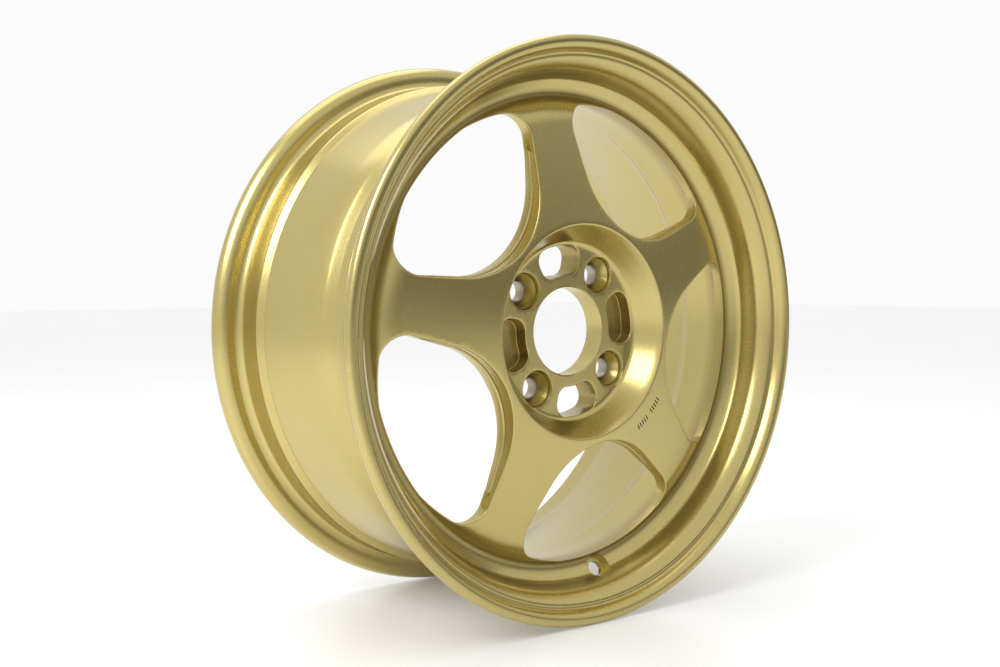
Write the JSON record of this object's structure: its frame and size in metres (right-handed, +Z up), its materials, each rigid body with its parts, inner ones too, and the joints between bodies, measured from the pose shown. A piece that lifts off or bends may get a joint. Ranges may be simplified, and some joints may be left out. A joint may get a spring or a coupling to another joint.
{
  "type": "car wheel rim",
  "caption": "One-piece forged car wheel rim, 15 x 6.5J: deep dished spoked disc with rounded windows, bare centre bore, pressed-in conical lug seats and a drop-centre barrel.",
  "frame": {"origin": "the wheel's centre: on its axis, half way between the two flanges", "axes": "+Y along the wheel's axis towards the car (the spoked face looks along -Y), +Z up, +X to the right seen from outboard"},
  "size_m": [0.4147, 0.1912, 0.4148],
  "materials": {
    "gold_paint": "glossy metallic gold paint under a clear coat",
    "seat_steel": "turned bare steel"
  },
  "bodies": {
    "root": {"wheel_forging": "gold_paint", "lug_seat_insert_1": "seat_steel", "lug_seat_insert_2": "seat_steel", "lug_seat_insert_3": "seat_steel", "lug_seat_insert_4": "seat_steel"}
  },
  "joints": []
}
